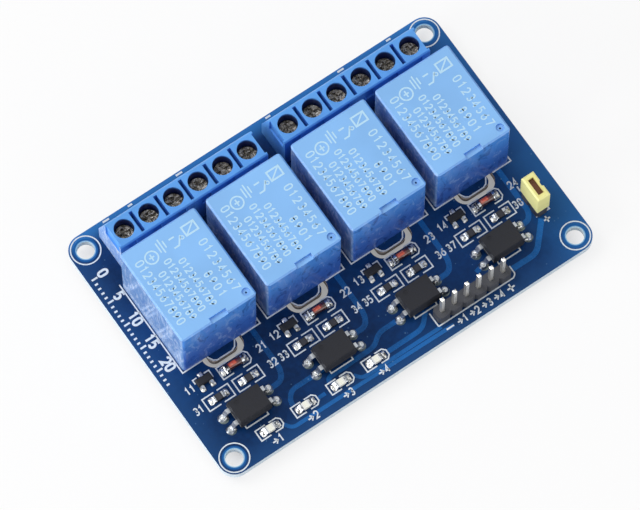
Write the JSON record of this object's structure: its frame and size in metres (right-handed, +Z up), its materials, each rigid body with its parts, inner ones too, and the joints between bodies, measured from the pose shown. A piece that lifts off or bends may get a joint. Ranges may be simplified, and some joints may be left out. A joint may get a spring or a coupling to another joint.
{
  "type": "relay module board",
  "caption": "Relay module: a blue circuit board with sealed blue relays in a row, screw terminals behind them, and opto-isolated drivers, indicator lamps and pin headers in front.",
  "frame": {"origin": "under the centre of the board, level with the tips of the soldered pins", "axes": "+X along the long side, +Y towards the screw terminals, +Z up, away from the soldered side"},
  "size_m": [0.077, 0.0516, 0.0188],
  "materials": {
    "board": "glass-fibre laminate under a glossy blue solder mask",
    "solder": "bright tin solder",
    "relay_case": "translucent blue moulded plastic, fine matt top",
    "relay_base": "moulded plastic",
    "relay_iron": "nickel-plated soft iron",
    "bobbin_plastic": "pale moulded plastic",
    "winding": "enamelled copper wire",
    "contact_brass": "brass with silver contact faces",
    "pin_metal": "tinned brass",
    "terminal_plastic": "light blue moulded polyamide",
    "screw_metal": "zinc-plated steel, yellowed",
    "cage_metal": "nickel-plated",
    "header_plastic": "black moulded plastic",
    "gold_pins": "pale gold plating",
    "jumper_plastic": "pale yellow moulded plastic",
    "clip_copper": "copper alloy",
    "opto_plastic": "dark grey moulded package, tinned leads",
    "diode_glass": "orange glass between tinned caps",
    "resistor_body": "black glaze on ceramic, soldered ends",
    "lamp_body": "white resin lens on a chip, soldered ends"
  },
  "bodies": {
    "board": {"pcb": "board", "solder_joints": "solder", "relay_case_1": "relay_case", "relay_case_2": "relay_case", "relay_case_3": "relay_case", "relay_case_4": "relay_case", "relay_base_1": "relay_base", "relay_base_2": "relay_base", "relay_base_3": "relay_base", "relay_base_4": "relay_base", "relay_bobbins": "bobbin_plastic", "relay_windings": "winding", "relay_cores": "relay_iron", "relay_yokes": "relay_iron", "relay_contacts": "contact_brass", "relay_coil_pins": "pin_metal", "terminal_block_1": "terminal_plastic", "terminal_block_2": "terminal_plastic", "terminal_block_3": "terminal_plastic", "terminal_block_4": "terminal_plastic", "terminal_bars": "pin_metal", "input_strip": "header_plastic", "jumper_strip": "header_plastic", "header_pins": "gold_pins", "optocouplers": "opto_plastic", "transistors": "opto_plastic", "diodes": "diode_glass", "resistors": "resistor_body", "indicator_lamps": "lamp_body"},
    "armature_1": {"relay_armature_1": "relay_iron"},
    "armature_2": {"relay_armature_2": "relay_iron"},
    "armature_3": {"relay_armature_3": "relay_iron"},
    "armature_4": {"relay_armature_4": "relay_iron"},
    "screw_1": {"clamp_screw_1": "screw_metal"},
    "cage_1": {"clamp_cage_1": "cage_metal"},
    "screw_2": {"clamp_screw_2": "screw_metal"},
    "cage_2": {"clamp_cage_2": "cage_metal"},
    "screw_3": {"clamp_screw_3": "screw_metal"},
    "cage_3": {"clamp_cage_3": "cage_metal"},
    "screw_4": {"clamp_screw_4": "screw_metal"},
    "cage_4": {"clamp_cage_4": "cage_metal"},
    "screw_5": {"clamp_screw_5": "screw_metal"},
    "cage_5": {"clamp_cage_5": "cage_metal"},
    "screw_6": {"clamp_screw_6": "screw_metal"},
    "cage_6": {"clamp_cage_6": "cage_metal"},
    "screw_7": {"clamp_screw_7": "screw_metal"},
    "cage_7": {"clamp_cage_7": "cage_metal"},
    "screw_8": {"clamp_screw_8": "screw_metal"},
    "cage_8": {"clamp_cage_8": "cage_metal"},
    "screw_9": {"clamp_screw_9": "screw_metal"},
    "cage_9": {"clamp_cage_9": "cage_metal"},
    "screw_10": {"clamp_screw_10": "screw_metal"},
    "cage_10": {"clamp_cage_10": "cage_metal"},
    "screw_11": {"clamp_screw_11": "screw_metal"},
    "cage_11": {"clamp_cage_11": "cage_metal"},
    "screw_12": {"clamp_screw_12": "screw_metal"},
    "cage_12": {"clamp_cage_12": "cage_metal"},
    "jumper": {"jumper_cap": "jumper_plastic", "jumper_clip": "clip_copper"}
  },
  "joints": [
    {"name": "armature_1_rock", "type": "hinge", "parent": "board", "child": "armature_1", "pos_m": [-0.02625, -0.00265, 0.0137], "axis": [1, 0, 0], "range_deg": [-4, 0], "stiffness_Nm_per_rad": 0.005, "springref_deg": 17.19},
    {"name": "armature_2_rock", "type": "hinge", "parent": "board", "child": "armature_2", "pos_m": [-0.00875, -0.00265, 0.0137], "axis": [1, 0, 0], "range_deg": [-4, 0], "stiffness_Nm_per_rad": 0.005, "springref_deg": 17.19},
    {"name": "armature_3_rock", "type": "hinge", "parent": "board", "child": "armature_3", "pos_m": [0.00875, -0.00265, 0.0137], "axis": [1, 0, 0], "range_deg": [-4, 0], "stiffness_Nm_per_rad": 0.005, "springref_deg": 17.19},
    {"name": "armature_4_rock", "type": "hinge", "parent": "board", "child": "armature_4", "pos_m": [0.02625, -0.00265, 0.0137], "axis": [1, 0, 0], "range_deg": [-4, 0], "stiffness_Nm_per_rad": 0.005, "springref_deg": 17.19},
    {"name": "screw_1_turn", "type": "hinge", "parent": "board", "child": "screw_1", "pos_m": [-0.02963, 0.01915, 0.00935], "axis": [0, 0, -1], "range_deg": [0, 1281]},
    {"name": "cage_1_rise", "type": "slide", "parent": "board", "child": "cage_1", "axis": [0, 0, 1], "range_m": [0, 0.0016]},
    {"name": "screw_2_turn", "type": "hinge", "parent": "board", "child": "screw_2", "pos_m": [-0.02455, 0.01915, 0.00935], "axis": [0, 0, -1], "range_deg": [0, 1281]},
    {"name": "cage_2_rise", "type": "slide", "parent": "board", "child": "cage_2", "axis": [0, 0, 1], "range_m": [0, 0.0016]},
    {"name": "screw_3_turn", "type": "hinge", "parent": "board", "child": "screw_3", "pos_m": [-0.01947, 0.01915, 0.00935], "axis": [0, 0, -1], "range_deg": [0, 1281]},
    {"name": "cage_3_rise", "type": "slide", "parent": "board", "child": "cage_3", "axis": [0, 0, 1], "range_m": [0, 0.0016]},
    {"name": "screw_4_turn", "type": "hinge", "parent": "board", "child": "screw_4", "pos_m": [-0.01439, 0.01915, 0.00935], "axis": [0, 0, -1], "range_deg": [0, 1281]},
    {"name": "cage_4_rise", "type": "slide", "parent": "board", "child": "cage_4", "axis": [0, 0, 1], "range_m": [0, 0.0016]},
    {"name": "screw_5_turn", "type": "hinge", "parent": "board", "child": "screw_5", "pos_m": [-0.00931, 0.01915, 0.00935], "axis": [0, 0, -1], "range_deg": [0, 1281]},
    {"name": "cage_5_rise", "type": "slide", "parent": "board", "child": "cage_5", "axis": [0, 0, 1], "range_m": [0, 0.0016]},
    {"name": "screw_6_turn", "type": "hinge", "parent": "board", "child": "screw_6", "pos_m": [-0.00423, 0.01915, 0.00935], "axis": [0, 0, -1], "range_deg": [0, 1281]},
    {"name": "cage_6_rise", "type": "slide", "parent": "board", "child": "cage_6", "axis": [0, 0, 1], "range_m": [0, 0.0016]},
    {"name": "screw_7_turn", "type": "hinge", "parent": "board", "child": "screw_7", "pos_m": [0.00423, 0.01915, 0.00935], "axis": [0, 0, -1], "range_deg": [0, 1281]},
    {"name": "cage_7_rise", "type": "slide", "parent": "board", "child": "cage_7", "axis": [0, 0, 1], "range_m": [0, 0.0016]},
    {"name": "screw_8_turn", "type": "hinge", "parent": "board", "child": "screw_8", "pos_m": [0.00931, 0.01915, 0.00935], "axis": [0, 0, -1], "range_deg": [0, 1281]},
    {"name": "cage_8_rise", "type": "slide", "parent": "board", "child": "cage_8", "axis": [0, 0, 1], "range_m": [0, 0.0016]},
    {"name": "screw_9_turn", "type": "hinge", "parent": "board", "child": "screw_9", "pos_m": [0.01439, 0.01915, 0.00935], "axis": [0, 0, -1], "range_deg": [0, 1281]},
    {"name": "cage_9_rise", "type": "slide", "parent": "board", "child": "cage_9", "axis": [0, 0, 1], "range_m": [0, 0.0016]},
    {"name": "screw_10_turn", "type": "hinge", "parent": "board", "child": "screw_10", "pos_m": [0.01947, 0.01915, 0.00935], "axis": [0, 0, -1], "range_deg": [0, 1281]},
    {"name": "cage_10_rise", "type": "slide", "parent": "board", "child": "cage_10", "axis": [0, 0, 1], "range_m": [0, 0.0016]},
    {"name": "screw_11_turn", "type": "hinge", "parent": "board", "child": "screw_11", "pos_m": [0.02455, 0.01915, 0.00935], "axis": [0, 0, -1], "range_deg": [0, 1281]},
    {"name": "cage_11_rise", "type": "slide", "parent": "board", "child": "cage_11", "axis": [0, 0, 1], "range_m": [0, 0.0016]},
    {"name": "screw_12_turn", "type": "hinge", "parent": "board", "child": "screw_12", "pos_m": [0.02963, 0.01915, 0.00935], "axis": [0, 0, -1], "range_deg": [0, 1281]},
    {"name": "cage_12_rise", "type": "slide", "parent": "board", "child": "cage_12", "axis": [0, 0, 1], "range_m": [0, 0.0016]},
    {"name": "jumper_lift", "type": "slide", "parent": "board", "child": "jumper", "axis": [0, 0, 1], "range_m": [0, 0.0056]}
  ],
  "couplings": [
    {"joint": "screw_1_turn", "follows": "cage_1_rise", "rad_per_m": 13963},
    {"joint": "screw_2_turn", "follows": "cage_2_rise", "rad_per_m": 13963},
    {"joint": "screw_3_turn", "follows": "cage_3_rise", "rad_per_m": 13963},
    {"joint": "screw_4_turn", "follows": "cage_4_rise", "rad_per_m": 13963},
    {"joint": "screw_5_turn", "follows": "cage_5_rise", "rad_per_m": 13963},
    {"joint": "screw_6_turn", "follows": "cage_6_rise", "rad_per_m": 13963},
    {"joint": "screw_7_turn", "follows": "cage_7_rise", "rad_per_m": 13963},
    {"joint": "screw_8_turn", "follows": "cage_8_rise", "rad_per_m": 13963},
    {"joint": "screw_9_turn", "follows": "cage_9_rise", "rad_per_m": 13963},
    {"joint": "screw_10_turn", "follows": "cage_10_rise", "rad_per_m": 13963},
    {"joint": "screw_11_turn", "follows": "cage_11_rise", "rad_per_m": 13963},
    {"joint": "screw_12_turn", "follows": "cage_12_rise", "rad_per_m": 13963}
  ]
}
